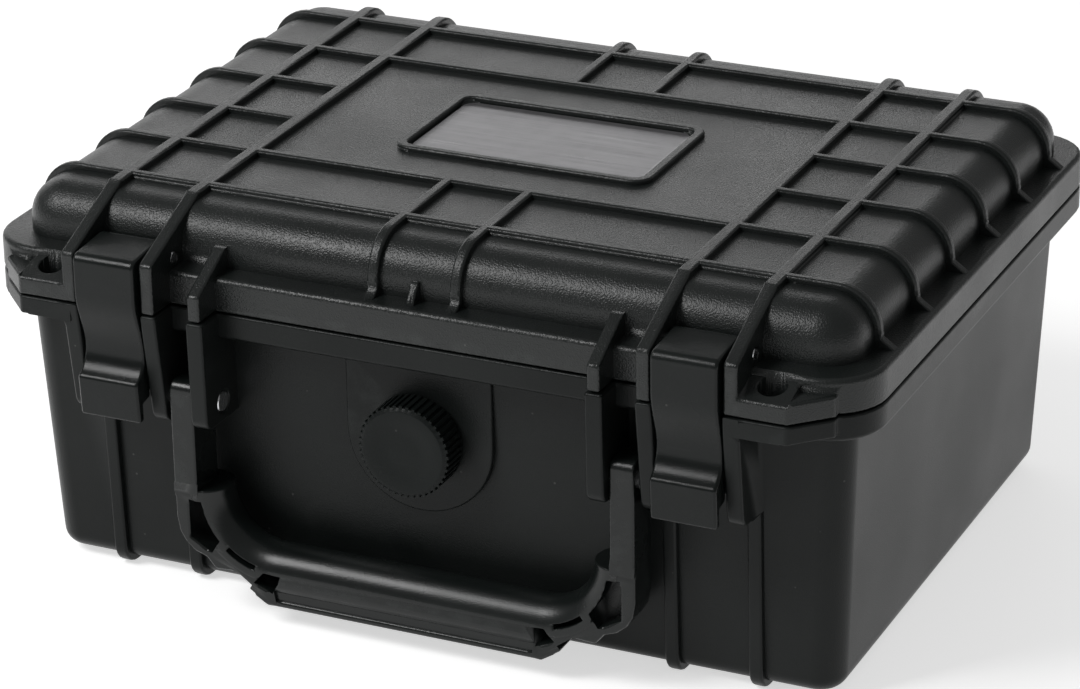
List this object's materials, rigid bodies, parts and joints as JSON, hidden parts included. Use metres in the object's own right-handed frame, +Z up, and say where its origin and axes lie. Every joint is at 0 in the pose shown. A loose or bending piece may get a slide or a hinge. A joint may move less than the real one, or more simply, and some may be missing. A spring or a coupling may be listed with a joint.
{
  "type": "hard tool case",
  "caption": "Small hard plastic tool case with a ribbed hinged lid, pull-down latches, a folding carrying handle, padlock tabs, a vent knob and foam inlays.",
  "frame": {"origin": "middle of the footprint, on the floor under the closed case", "axes": "+X to the right across the width, +Y to the hinges at the rear, +Z up; the latches and the handle face -Y"},
  "size_m": [0.21, 0.1712, 0.093],
  "materials": {
    "shell_plastic": "fine grain, satin black",
    "latch_plastic": "smooth satin black",
    "handle_plastic": "smooth satin black with a polished grip",
    "knob_plastic": "satin black",
    "seal_rubber": "matte black",
    "plate_metal": "satin dark grey, bare",
    "pin_steel": "bright turned steel",
    "clip_steel": "spring steel",
    "valve_brass": "turned brass",
    "foam_dark": "open-cell foam, charcoal",
    "foam_light": "open-cell foam, charcoal"
  },
  "bodies": {
    "base": {"base_shell": "shell_plastic", "base_foam_pad": "foam_dark", "base_pluck_foam": "foam_dark", "handle_pin_left": "pin_steel", "handle_pin_right": "pin_steel", "hinge_pin_left": "pin_steel", "hinge_pin_right": "pin_steel", "valve_bush": "valve_brass", "valve_nut": "valve_brass", "valve_o_ring": "seal_rubber"},
    "lid": {"lid_shell": "shell_plastic", "lid_seal": "seal_rubber", "name_plate": "plate_metal", "lid_foam": "foam_light", "latch_pin_left": "pin_steel", "latch_pin_right": "pin_steel"},
    "latch_left": {"latch_left": "latch_plastic"},
    "latch_right": {"latch_right": "latch_plastic"},
    "handle": {"handle": "handle_plastic"},
    "valve": {"valve_knob": "knob_plastic", "valve_stem": "pin_steel", "valve_clip": "clip_steel"}
  },
  "joints": [
    {"name": "lid_hinge", "type": "hinge", "parent": "base", "child": "lid", "pos_m": [0, 0.08225, 0.0719], "axis": [-1, 0, 0], "range_deg": [0, 110]},
    {"name": "latch_left_pivot", "type": "hinge", "parent": "lid", "child": "latch_left", "pos_m": [-0.06841, -0.07315, 0.082], "axis": [-1, 0, 0], "range_deg": [0, 100]},
    {"name": "latch_right_pivot", "type": "hinge", "parent": "lid", "child": "latch_right", "pos_m": [0.06841, -0.07315, 0.082], "axis": [-1, 0, 0], "range_deg": [0, 100]},
    {"name": "handle_swing", "type": "hinge", "parent": "base", "child": "handle", "pos_m": [0, -0.07505, 0.0504], "axis": [-1, 0, 0], "range_deg": [0, 90]},
    {"name": "valve_turn", "type": "hinge", "parent": "base", "child": "valve", "pos_m": [0, -0.074, 0.0474], "axis": [0, -1, 0], "range_deg": [0, 180]}
  ]
}
